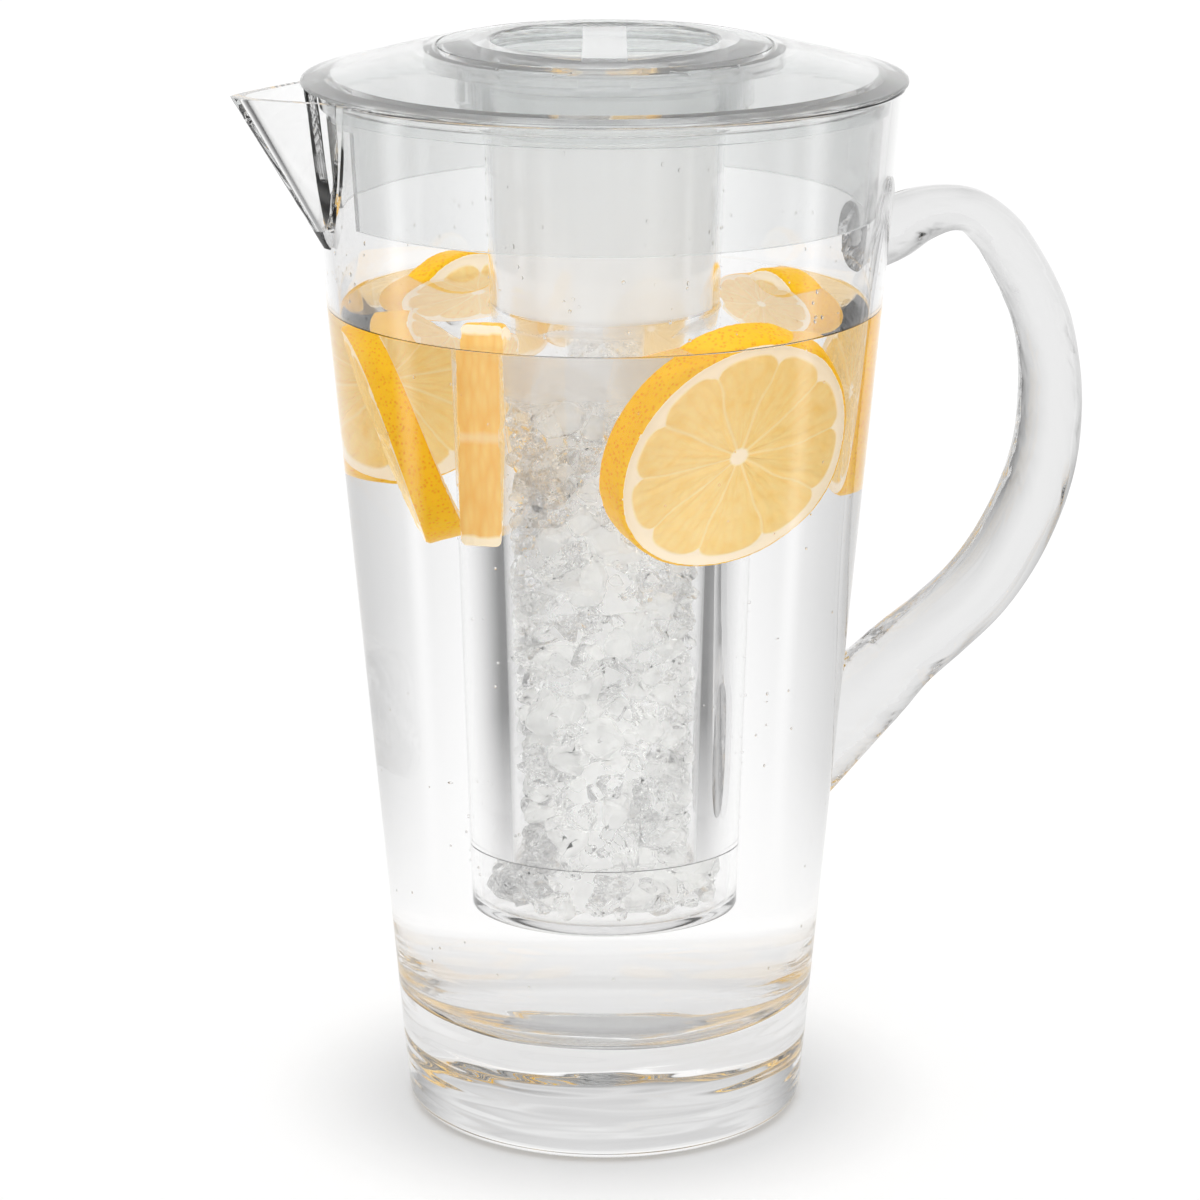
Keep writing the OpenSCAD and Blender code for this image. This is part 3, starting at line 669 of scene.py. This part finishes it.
def lemon_zest():
    """Fresh zest: waxy deep yellow with fine darker oil pores about 1.1 mm apart."""
    material, shader = material_of("lemon_zest_waxy", Roughness=0.38, IOR=1.45, Specular_IOR_Level=0.15)
    place = add(material, "TexCoord")
    pores = add(material, "TexVoronoi",
                {"Scale": 1 / (1.1 * MM), "feature": "F1", "Vector": place.outputs["Object"]})
    dot = add(material, "MapRange",
              {"From Min": 0.1, "From Max": 0.42, "Value": pores.outputs["Distance"]})
    patch = add(material, "TexNoise",
                {"Scale": 1 / (9 * MM), "Detail": 2.0, "Vector": place.outputs["Object"]})
    skin = add(material, "Mix",
               {"data_type": "RGBA", 6: colour("#F7B800"), 7: colour("#FDCA0C"),
                0: patch.outputs["Fac"]})
    tone = add(material, "Mix",
               {"data_type": "RGBA", 6: colour("#E39B00"), 0: dot.outputs["Result"],
                7: skin.outputs[2]})
    bump = add(material, "Bump",
               {"Strength": 0.5, "Distance": 0.15 * MM, "Height": dot.outputs["Result"]})
    with_painted_glow(material, shader, tone.outputs[2], PAINTED_GLOW_SHARE)
    material.node_tree.links.new(bump.outputs["Normal"], shader.inputs["Normal"])
    return material


zest = lemon_zest()
# Node, place round the wall, height, size share, facing, lean, sweep, and seed of the pattern
SLICES = [
    ("lemon_slice_front", 288, 185.5, 1.0, 288, -22, 360, 0.13),
    ("lemon_half_left", 177, 184, 0.9, 158, -22, 180, 0.3),
    ("lemon_half_middle", 224, 190, 0.86, 336, 0, 180, 0.55),
    ("lemon_slice_back", 116, 190, 0.86, 116, -6, 360, 0.7),
    ("lemon_slice_right", 12, 188, 0.86, 8, -6, 360, 0.4)]
for node, at, z, share, azimuth, lift, sweep, seed in SLICES:
    radius = LEMON_R * share
    slice_piece = lemon_mesh(node.replace("lemon", "cut_lemon"), radius, sweep, seed)
    slice_piece.matrix_world = seated(at, z * MM, radius, azimuth, lift, sweep)
    slice_piece.data.materials.append(lemon_flesh(radius, seed))
    slice_piece.data.materials.append(zest)
    if sweep != 360:
        slice_piece.data.materials.append(lemon_middle_cut(radius))
    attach(slice_piece, "pitcher")
    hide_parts(node)

# Lid, knob and their seals
# Injection-moulded clear acrylic, glossy, with slightly rounded edges and faint flow marks.
# The ring and the seal are clear silicone, which is softer and milkier than the acrylic.

# A little of the light scatters inside, so the lid looks a touch milkier than the cast pitcher
lid_acrylic = clear_acrylic("moulded_acrylic_glossy", "#FBFCFC", 0.02, 25, 0.05)
lid_acrylic.node_tree.nodes["Principled BSDF"].inputs["Transmission Weight"].default_value = 0.94
silicone = material_of("clear_silicone_satin", Base_Color=colour("#FCFDFD"), IOR=1.41, Roughness=0.06,
                       Transmission_Weight=1.0)[0]
LOOKS = {"lid": lid_acrylic, "core_cap": lid_acrylic, "lid_ring": silicone, "core_seal": silicone}
for node, look in LOOKS.items():
    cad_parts[node].data.materials.clear()
    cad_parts[node].data.materials.append(look)

# Ice tube
# A long tapered cup of thin clear acrylic that hangs from the knob and keeps the ice out of the drink.
# Cold air inside frosts it lightly above the drink, and melt water stands in its closed end.

TUBE_WALL = 1.7 * MM
TUBE_FLOOR_T = 2.5 * MM
BEAD_H = 1.6 * MM
inside_end = TUBE_END_Z + TUBE_FLOOR_T
bead_z = TUBE_TOP_Z - 5 * MM
TUBE_CURVE = arc((tube_r(inside_end) - TUBE_WALL - TUBE_ROUND, inside_end + TUBE_ROUND), TUBE_ROUND,
                 TUBE_ROUND, 0, -90, 10)
tube_profile = [(0, TUBE_END_Z)]
tube_profile += arc((TUBE_END_R - TUBE_ROUND, TUBE_END_Z + TUBE_ROUND), TUBE_ROUND, TUBE_ROUND, -90, 0, 10)
tube_profile += [(tube_r(bead_z - BEAD_H), bead_z - BEAD_H)]
tube_profile += [(tube_r(bead_z) + 0.3 * MM, bead_z - BEAD_H / 2), (tube_r(bead_z), bead_z)]
tube_profile += [(TUBE_TOP_R, TUBE_TOP_Z), (TUBE_TOP_R - TUBE_WALL, TUBE_TOP_Z)]
tube_profile += TUBE_CURVE
tube_profile += [(0, inside_end)]
tube = turned_mesh("ice_cup", tube_profile)
tube.data.materials.append(clear_acrylic("tube_acrylic_misted", "#FFFFFF", 0.0, 40, 0.02))
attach(tube, "tube")
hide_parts("ice_tube")

FROST_LOW_Z = 196 * MM
frost_profile = [(tube_r(z) - TUBE_WALL - 0.1 * MM, z) for z in (FROST_LOW_Z, TUBE_TOP_Z - 1.5 * MM)]
frost_profile += [(tube_r(z) - TUBE_WALL - 0.3 * MM, z) for z in (TUBE_TOP_Z - 1.5 * MM, FROST_LOW_Z)]
frost = turned_mesh("tube_frost", frost_profile, 144)
for v in frost.data.vertices:
    low = max(0, 1 - (v.co.z - FROST_LOW_Z) / (22 * MM))
    v.co.z -= low * (6 * MM + 9 * MM * noise.noise((v.co.x * 60, v.co.y * 60, 4)))
# Rime: streaky pale grey with a fine grain, which thins out in patches under the drink's level
rime, rime_shader = material_of("rime_fine_white", Roughness=0.5, IOR=1.31, Transmission_Weight=0.1)
place = add(rime, "TexCoord")
runs = add(rime, "Mapping",
           {"Scale": (1 / (9 * MM), 1 / (9 * MM), 1 / (160 * MM)), "Vector": place.outputs["Object"]})
streak = add(rime, "TexNoise", {"Scale": 1.0, "Detail": 2.0, "Vector": runs.outputs["Vector"]})
tone = add(rime, "Mix",
           {"data_type": "RGBA", 6: colour("#DCDDDD"), 7: colour("#F8F9F9"), 0: streak.outputs["Fac"]})
grain = add(rime, "TexNoise",
            {"Scale": 1 / (0.8 * MM), "Detail": 2.0, "Vector": place.outputs["Object"]})
bump = add(rime, "Bump", {"Strength": 0.3, "Distance": 0.1 * MM, "Height": grain.outputs["Fac"]})
height = add(rime, "SeparateXYZ", {"Vector": place.outputs["Object"]})
cover = add(rime, "MapRange",
            {"From Min": FROST_LOW_Z - 14 * MM, "From Max": FROST_LOW_Z + 16 * MM,
             "interpolation_type": "SMOOTHSTEP", "Value": height.outputs["Z"]})
patch = add(rime, "TexNoise",
            {"Scale": 1 / (12 * MM), "Detail": 3.0, "Vector": place.outputs["Object"]})
thin = add(rime, "MapRange",
           {"From Min": 0.3, "From Max": 0.62, "To Min": 0.35, "To Max": 1.0,
            "Value": patch.outputs["Fac"]})
solid = add(rime, "Math",
            {"operation": "MULTIPLY_ADD", "use_clamp": True, 0: thin.outputs["Result"],
             1: cover.outputs["Result"], 2: cover.outputs["Result"]})
cover_all = add(rime, "Math",
                {"operation": "MULTIPLY", "use_clamp": True, 0: solid.outputs["Value"],
                 1: cover.outputs["Result"]})
rime.node_tree.links.new(cover_all.outputs["Value"], rime_shader.inputs["Alpha"])
# The rime also glows a little: painted light that brightens it
with_painted_glow(rime, rime_shader, tone.outputs[2], 0.32)
rime.node_tree.links.new(bump.outputs["Normal"], rime_shader.inputs["Normal"])
frost.data.materials.append(rime)
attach(frost, "tube")

MELT_Z = 72 * MM
melt_profile = [(0, inside_end - BITE)]
melt_profile += [(r + BITE * 0.7, z - BITE * 0.7) for r, z in reversed(TUBE_CURVE)]
melt_profile += meniscus(tube_r(MELT_Z) - TUBE_WALL + BITE, -1, MELT_Z)
melt_profile += [(0, MELT_Z)]
melt = turned_mesh("melt_water", melt_profile)
melt.data.materials.append(water_material)
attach(melt, "tube")

# Drops and bubbles
# Condensation: drops of water on the cold tube and the wall above the drink, each a low dome.
# Small bubbles of air cling to the wall and the tube below the surface.

random.seed(7)


def gathered(name, shapes, sharp):
    """One object of many small shapes, each given as its points and faces."""
    points, faces = [], []
    for own_points, own_faces in shapes:
        start = len(points)
        points += own_points
        faces += [[start + i for i in face] for face in own_faces]
    data = bpy.data.meshes.new("gathered")
    data.from_pydata(points, [], faces)
    mesh = bmesh.new()
    mesh.from_mesh(data)
    bpy.data.meshes.remove(data)
    return made(name, mesh, sharp)


def beads(name, count, low, high, radius_at, side, sizes, squash):
    """Many small drops on a turned surface, each a squashed ball half sunk into it."""
    ball = bmesh.new()
    bmesh.ops.create_uvsphere(ball, u_segments=14, v_segments=9, radius=1)
    ball_points = [v.co.copy() for v in ball.verts]
    ball_faces = [[v.index for v in f.verts] for f in ball.faces]
    ball.free()
    shapes = []
    for _ in range(count):
        z = random.uniform(low, high)
        a = random.uniform(0, math.tau)
        size = random.uniform(*sizes) * MM
        out = Vector((math.cos(a), math.sin(a), 0))
        turn = out.to_track_quat("X", "Z").to_matrix().to_4x4()
        shape = Matrix.Diagonal((size * squash, size, size * random.uniform(1.0, 1.3), 1))
        place = Matrix.Translation(out * (radius_at(z) + side * size * squash * 0.5) + Vector((0, 0, z)))
        shapes.append(([place @ turn @ shape @ p for p in ball_points], ball_faces))
    return gathered(name, shapes, 60)


tube_drops = beads("tube_drops", 70, WATER_Z + 3 * MM, 256 * MM, tube_r, 1, (0.2, 0.5), 0.35)
wall_drops = beads("wall_drops", 80, WATER_Z + 4 * MM, 232 * MM, inner_r, -1, (0.2, 0.5), 0.4)
bubbles = beads("wall_bubbles", 150, 45 * MM, WATER_Z - 4 * MM, inner_r, -1, (0.15, 0.4), 0.9)
tube_bubbles = beads("tube_bubbles", 90, 66 * MM, WATER_Z - 4 * MM, tube_r, 1, (0.15, 0.45), 0.9)
DROPLETS = ((tube_drops, "tube"), (wall_drops, "pitcher"), (bubbles, "pitcher"), (tube_bubbles, "tube"))
for piece, body in DROPLETS:
    piece.data.materials.append(water_material)
    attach(piece, body)

# Crushed ice
# Broken ice from a crusher, in wet lumps of 4 to 15 mm, some clear and some white with trapped air.
# They fill the tube to about the drink's level.

ICE_TOP_Z = 205 * MM
ICE_STEP = 5.6 * MM
CLEAR_ICE_SHARE = 0.76
random.seed(41)


def ice_shape():
    """One broken lump: the hull of random points on a ball, as its points and faces."""
    lump = bmesh.new()
    for _ in range(random.randint(10, 16)):
        lump.verts.new(Vector([random.gauss(0, 1) for _ in range(3)]).normalized())
    bmesh.ops.convex_hull(lump, input=lump.verts)
    bmesh.ops.delete(lump, geom=[v for v in lump.verts if not v.link_faces], context="VERTS")
    bmesh.ops.bevel(lump, geom=lump.edges[:], offset=0.09, segments=1, affect="EDGES")
    lump.verts.index_update()
    # The bevel can throw a corner of a thin facet far out, so each one is brought back to the ball
    points = [v.co / max(1.0, v.co.length) for v in lump.verts]
    faces = [[v.index for v in f.verts] for f in lump.faces]
    lump.free()
    return points, faces


def ice_of(name, tint, transmission, roughness):
    """Wet ice: refracts a little less than water glass, with a rough broken surface and inner cracks. The
    less clear it is, the more it glows, a painted light that brightens it.
    """
    material, shader = material_of(name, Base_Color=colour(tint), IOR=1.31, Roughness=roughness,
                                   Transmission_Weight=transmission, Emission_Color=colour(tint),
                                   Emission_Strength=0.26 * (1 - transmission))
    place = add(material, "TexCoord")
    chips = add(material, "TexNoise",
                {"Scale": 1 / (3.6 * MM), "Detail": 2.0, "Vector": place.outputs["Object"]})
    bump = add(material, "Bump",
               {"Strength": 0.8, "Distance": 0.9 * MM, "Height": chips.outputs["Fac"]})
    material.node_tree.links.new(bump.outputs["Normal"], shader.inputs["Normal"])
    return material


heaps = [[], []]
kinds = [ice_shape() for _ in range(60)]
z = inside_end + 3 * MM
while z < ICE_TOP_Z:
    for share in (1.0, 0.68):
        ring_r = (tube_r(z) - TUBE_WALL - 4.2 * MM) * share
        count = round(math.tau * ring_r / ICE_STEP)
        for i in range(count):
            size = random.choice((2.4, 3.2, 4.0, 4.8, 5.6, 7.4)) * random.uniform(0.85, 1.15) * MM
            r = min(ring_r + random.uniform(-1.5, 2.5) * MM, tube_r(z) - TUBE_WALL - size - 0.25 * MM)
            a = math.tau * (i + random.uniform(-0.35, 0.35)) / count + z * 900
            high = max(inside_end + size + 0.2 * MM, z + random.uniform(-2, 2) * MM)
            spin = Vector([random.gauss(0, 1) for _ in range(3)]).to_track_quat("X", "Z").to_matrix()
            centre = Vector((r * math.cos(a), r * math.sin(a), high))
            stretch = Vector([random.uniform(0.65, 1.0) * size for _ in range(3)])
            points, faces = random.choice(kinds)
            placed = [centre + spin @ Vector([p[k] * stretch[k] for k in range(3)]) for p in points]
            heaps[0 if random.random() < CLEAR_ICE_SHARE else 1].append((placed, faces))
    z += ICE_STEP * 0.8
core_profile = [(0, inside_end + 2 * MM)]
core_profile += [(tube_r(z) * 0.5, z) for z in (inside_end + 2 * MM, ICE_TOP_Z - 6 * MM)]
core_profile += [(0, ICE_TOP_Z - 3 * MM)]
core = turned_mesh("ice_packed_middle", core_profile, 72)
for v in core.data.vertices:
    if math.hypot(v.co.x, v.co.y) > 1 * MM:
        grow = 1 + 0.35 * noise.noise(v.co * 110)
        v.co.x *= grow
        v.co.y *= grow
ICE_LOOKS = [("ice_lumps_clear", "#FFFFFF", 1.0, 0.03), ("ice_lumps_cloudy", "#F8F8F7", 0.72, 0.2)]
for shapes, (name, tint, transmission, roughness) in zip(heaps, ICE_LOOKS):
    heap = gathered(name, shapes, 20)
    heap.data.materials.append(ice_of(name + "_wet", tint, transmission, roughness))
    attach(heap, "tube")
    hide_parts("crushed_ice")
core.data.materials.append(ice_of("ice_packed_white", "#F1F1F0", 0.15, 0.4))
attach(core, "tube")
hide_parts("crushed_ice")

# Floor, light and camera
# A plain white sweep under an even white studio. Clear pieces take their grey edges from darker
# bands between the studio's softboxes, which only reflections and refractions see.

VIEW_TURN = math.radians(17)
CLEAR_SHARE = 0.97
DARK_SHARE = 0.35
SWEEP_R = 6
SWEEP_DROP = 0.15 * MM


def studio_bands(owner, x, y):
    """How dark the studio is in a level direction, for rays that have only met clear or glossy surfaces."""
    turn = add(owner, "Math", {"operation": "ARCTAN2", 0: y, 1: x})
    aside = add(owner, "Math",
                {"operation": "ADD", 1: VIEW_TURN - math.pi / 2, 0: turn.outputs["Value"]})
    facing = add(owner, "Math", {"operation": "COSINE", 0: aside.outputs["Value"]})
    near = add(owner, "MapRange",
               {"From Min": -0.3, "From Max": -0.85, "To Min": 0.0, "To Max": 0.35,
                "Value": facing.outputs["Value"]})
    ahead = add(owner, "Math", {"operation": "ABSOLUTE", 0: facing.outputs["Value"]})
    band = add(owner, "MapRange",
               {"From Min": CLEAR_SHARE, "From Max": DARK_SHARE, "To Min": 0.0, "To Max": 0.85,
                "Value": ahead.outputs["Value"]})
    slit = add(owner, "MapRange",
               {"From Min": 0.03, "From Max": 0.12, "To Min": 0.0, "To Max": 1.0,
                "Value": ahead.outputs["Value"]})
    dark = add(owner, "Math",
               {"operation": "MULTIPLY", 0: band.outputs["Result"], 1: slit.outputs["Result"]})
    path = add(owner, "LightPath")
    mixed = add(owner, "MapRange",
                {"From Min": 13.0, "From Max": 20.0, "To Min": 1.0, "To Max": 0.3,
                 "Value": path.outputs["Transmission Depth"]})
    dark = add(owner, "Math",
               {"operation": "MULTIPLY", 0: dark.outputs["Value"], 1: mixed.outputs["Result"]})
    dark = add(owner, "Math",
               {"operation": "MAXIMUM", 0: dark.outputs["Value"], 1: near.outputs["Result"]})
    clear = add(owner, "Math",
                {"operation": "MAXIMUM", 0: path.outputs["Is Transmission Ray"],
                 1: path.outputs["Is Glossy Ray"]})
    direct = add(owner, "Math", {"operation": "LESS_THAN", 1: 0.5, 0: path.outputs["Diffuse Depth"]})
    clear = add(owner, "Math",
                {"operation": "MULTIPLY", 0: clear.outputs["Value"], 1: direct.outputs["Value"]})
    return dark.outputs["Value"], clear.outputs["Value"], path


floor_mesh = bmesh.new()
bmesh.ops.create_circle(floor_mesh, cap_ends=True, segments=96, radius=SWEEP_R)
floor = made("floor", floor_mesh)
floor.location.z = -SWEEP_DROP
sweep_white, floor_shader = material_of("white_sweep", Roughness=0.9)
floor_shader.inputs["Specular IOR Level"].default_value = 0.0
floor_shader.inputs["Emission Color"].default_value = (1, 1, 1, 1)
place = add(sweep_white, "TexCoord")
spot = add(sweep_white, "SeparateXYZ", {"Vector": place.outputs["Object"]})
dark, clear, path = studio_bands(sweep_white, spot.outputs["X"], spot.outputs["Y"])
away = add(sweep_white, "VectorMath", {"operation": "LENGTH", 0: place.outputs["Object"]})
# Far out, the floor is painted with the studio's dark bands: painted shade that only rays through clear
# pieces see
beyond = add(sweep_white, "MapRange",
             {"From Min": 0.16, "From Max": 0.42, "Value": away.outputs["Value"]})
# Near the foot the floor is painted darker, a painted shadow that only rays through clear pieces see
painted_shade_near_foot = add(sweep_white, "MapRange",
             {"From Min": 0.055, "From Max": 0.17, "To Min": 0.25, "To Max": 0.0,
              "Value": away.outputs["Value"]})
dark = add(sweep_white, "Math", {"operation": "MULTIPLY", 0: dark, 1: beyond.outputs["Result"]})
dark = add(sweep_white, "Math",
           {"operation": "MAXIMUM", 0: dark.outputs["Value"], 1: painted_shade_near_foot.outputs["Result"]})
dark = add(sweep_white, "Math", {"operation": "MULTIPLY", 0: dark.outputs["Value"], 1: clear})
# A painted soft shadow where the foot stands on the sweep: ambient occlusion darkens the floor for camera
# rays
corner = add(sweep_white, "AmbientOcclusion", {"Distance": 40 * MM})
painted_contact_shadow = add(sweep_white, "MapRange",
              {"From Min": 1.0, "From Max": 0.3, "To Min": 0.0, "To Max": 0.4,
               "Value": corner.outputs["AO"]})
painted_contact_shadow = add(sweep_white, "Math",
              {"operation": "MULTIPLY", 0: painted_contact_shadow.outputs["Result"], 1: path.outputs["Is Camera Ray"]})
dark = add(sweep_white, "Math",
           {"operation": "MAXIMUM", 0: dark.outputs["Value"], 1: painted_contact_shadow.outputs["Value"]})
light = add(sweep_white, "Math", {"operation": "SUBTRACT", 0: 1.0, 1: dark.outputs["Value"]})
seen = add(sweep_white, "Math", {"operation": "MAXIMUM", 0: path.outputs["Is Camera Ray"], 1: clear})
glow = add(sweep_white, "Math", {"operation": "MULTIPLY", 1: 0.42, 0: seen.outputs["Value"]})
glow = add(sweep_white, "Math",
           {"operation": "MULTIPLY", 0: glow.outputs["Value"], 1: light.outputs["Value"]})
paint = add(sweep_white, "Mix",
            {"data_type": "RGBA", 6: (0, 0, 0, 1), 7: (0.62, 0.62, 0.62, 1), 0: light.outputs["Value"]})
sweep_white.node_tree.links.new(paint.outputs[2], floor_shader.inputs["Base Color"])
sweep_white.node_tree.links.new(glow.outputs["Value"], floor_shader.inputs["Emission Strength"])
floor.data.materials.append(sweep_white)

world = bpy.data.worlds.new("white_studio")
world.use_nodes = True
bpy.context.scene.world = world
world.node_tree.nodes.clear()
sky = add(world, "TexCoord")
sky_xyz = add(world, "SeparateXYZ", {"Vector": sky.outputs["Generated"]})
dark, clear = studio_bands(world, sky_xyz.outputs["X"], sky_xyz.outputs["Y"])[:2]
high = add(world, "MapRange",
           {"From Min": 0.18, "From Max": 0.6, "To Min": 0.0, "To Max": 0.6,
            "Value": sky_xyz.outputs["Z"]})
darker = add(world, "Math", {"operation": "MAXIMUM", 0: dark, 1: high.outputs["Result"]})
dimmed = add(world, "Math", {"operation": "MULTIPLY", 0: darker.outputs["Value"], 1: clear})
strength = add(world, "Math", {"operation": "SUBTRACT", 0: 1.0, 1: dimmed.outputs["Value"]})
backdrop = add(world, "Background", {"Color": (1, 1, 1, 1), "Strength": strength.outputs["Value"]})
add(world, "OutputWorld", {"Surface": backdrop.outputs["Background"]})

VIEW_FAR = 1070.7 * MM
VIEW_Z = 433.5 * MM
VIEW_TILT = math.radians(15.64)
FOCAL_PX = 4330
FRAME_PX = 1200
AXIS_PX = 604.6
camera_data = bpy.data.cameras.new("camera")
camera = bpy.data.objects.new("camera", camera_data)
bpy.context.scene.collection.objects.link(camera)
camera.location = (-math.sin(VIEW_TURN) * VIEW_FAR, -math.cos(VIEW_TURN) * VIEW_FAR, VIEW_Z)
camera.rotation_euler = (math.radians(90) - VIEW_TILT, 0, -VIEW_TURN)
camera_data.sensor_width = 36
camera_data.lens = camera_data.sensor_width * FOCAL_PX / FRAME_PX
camera_data.shift_x = (FRAME_PX / 2 - AXIS_PX) / FRAME_PX
bpy.context.scene.camera = camera
bpy.context.scene.view_settings.view_transform = "Standard"
cycles = bpy.context.scene.cycles
cycles.max_bounces = 40
cycles.transmission_bounces = 40
cycles.blur_glossy = 0
cycles.caustics_refractive = True
cycles.caustics_reflective = True
cycles.glossy_bounces = 16
cycles.transparent_max_bounces = 16
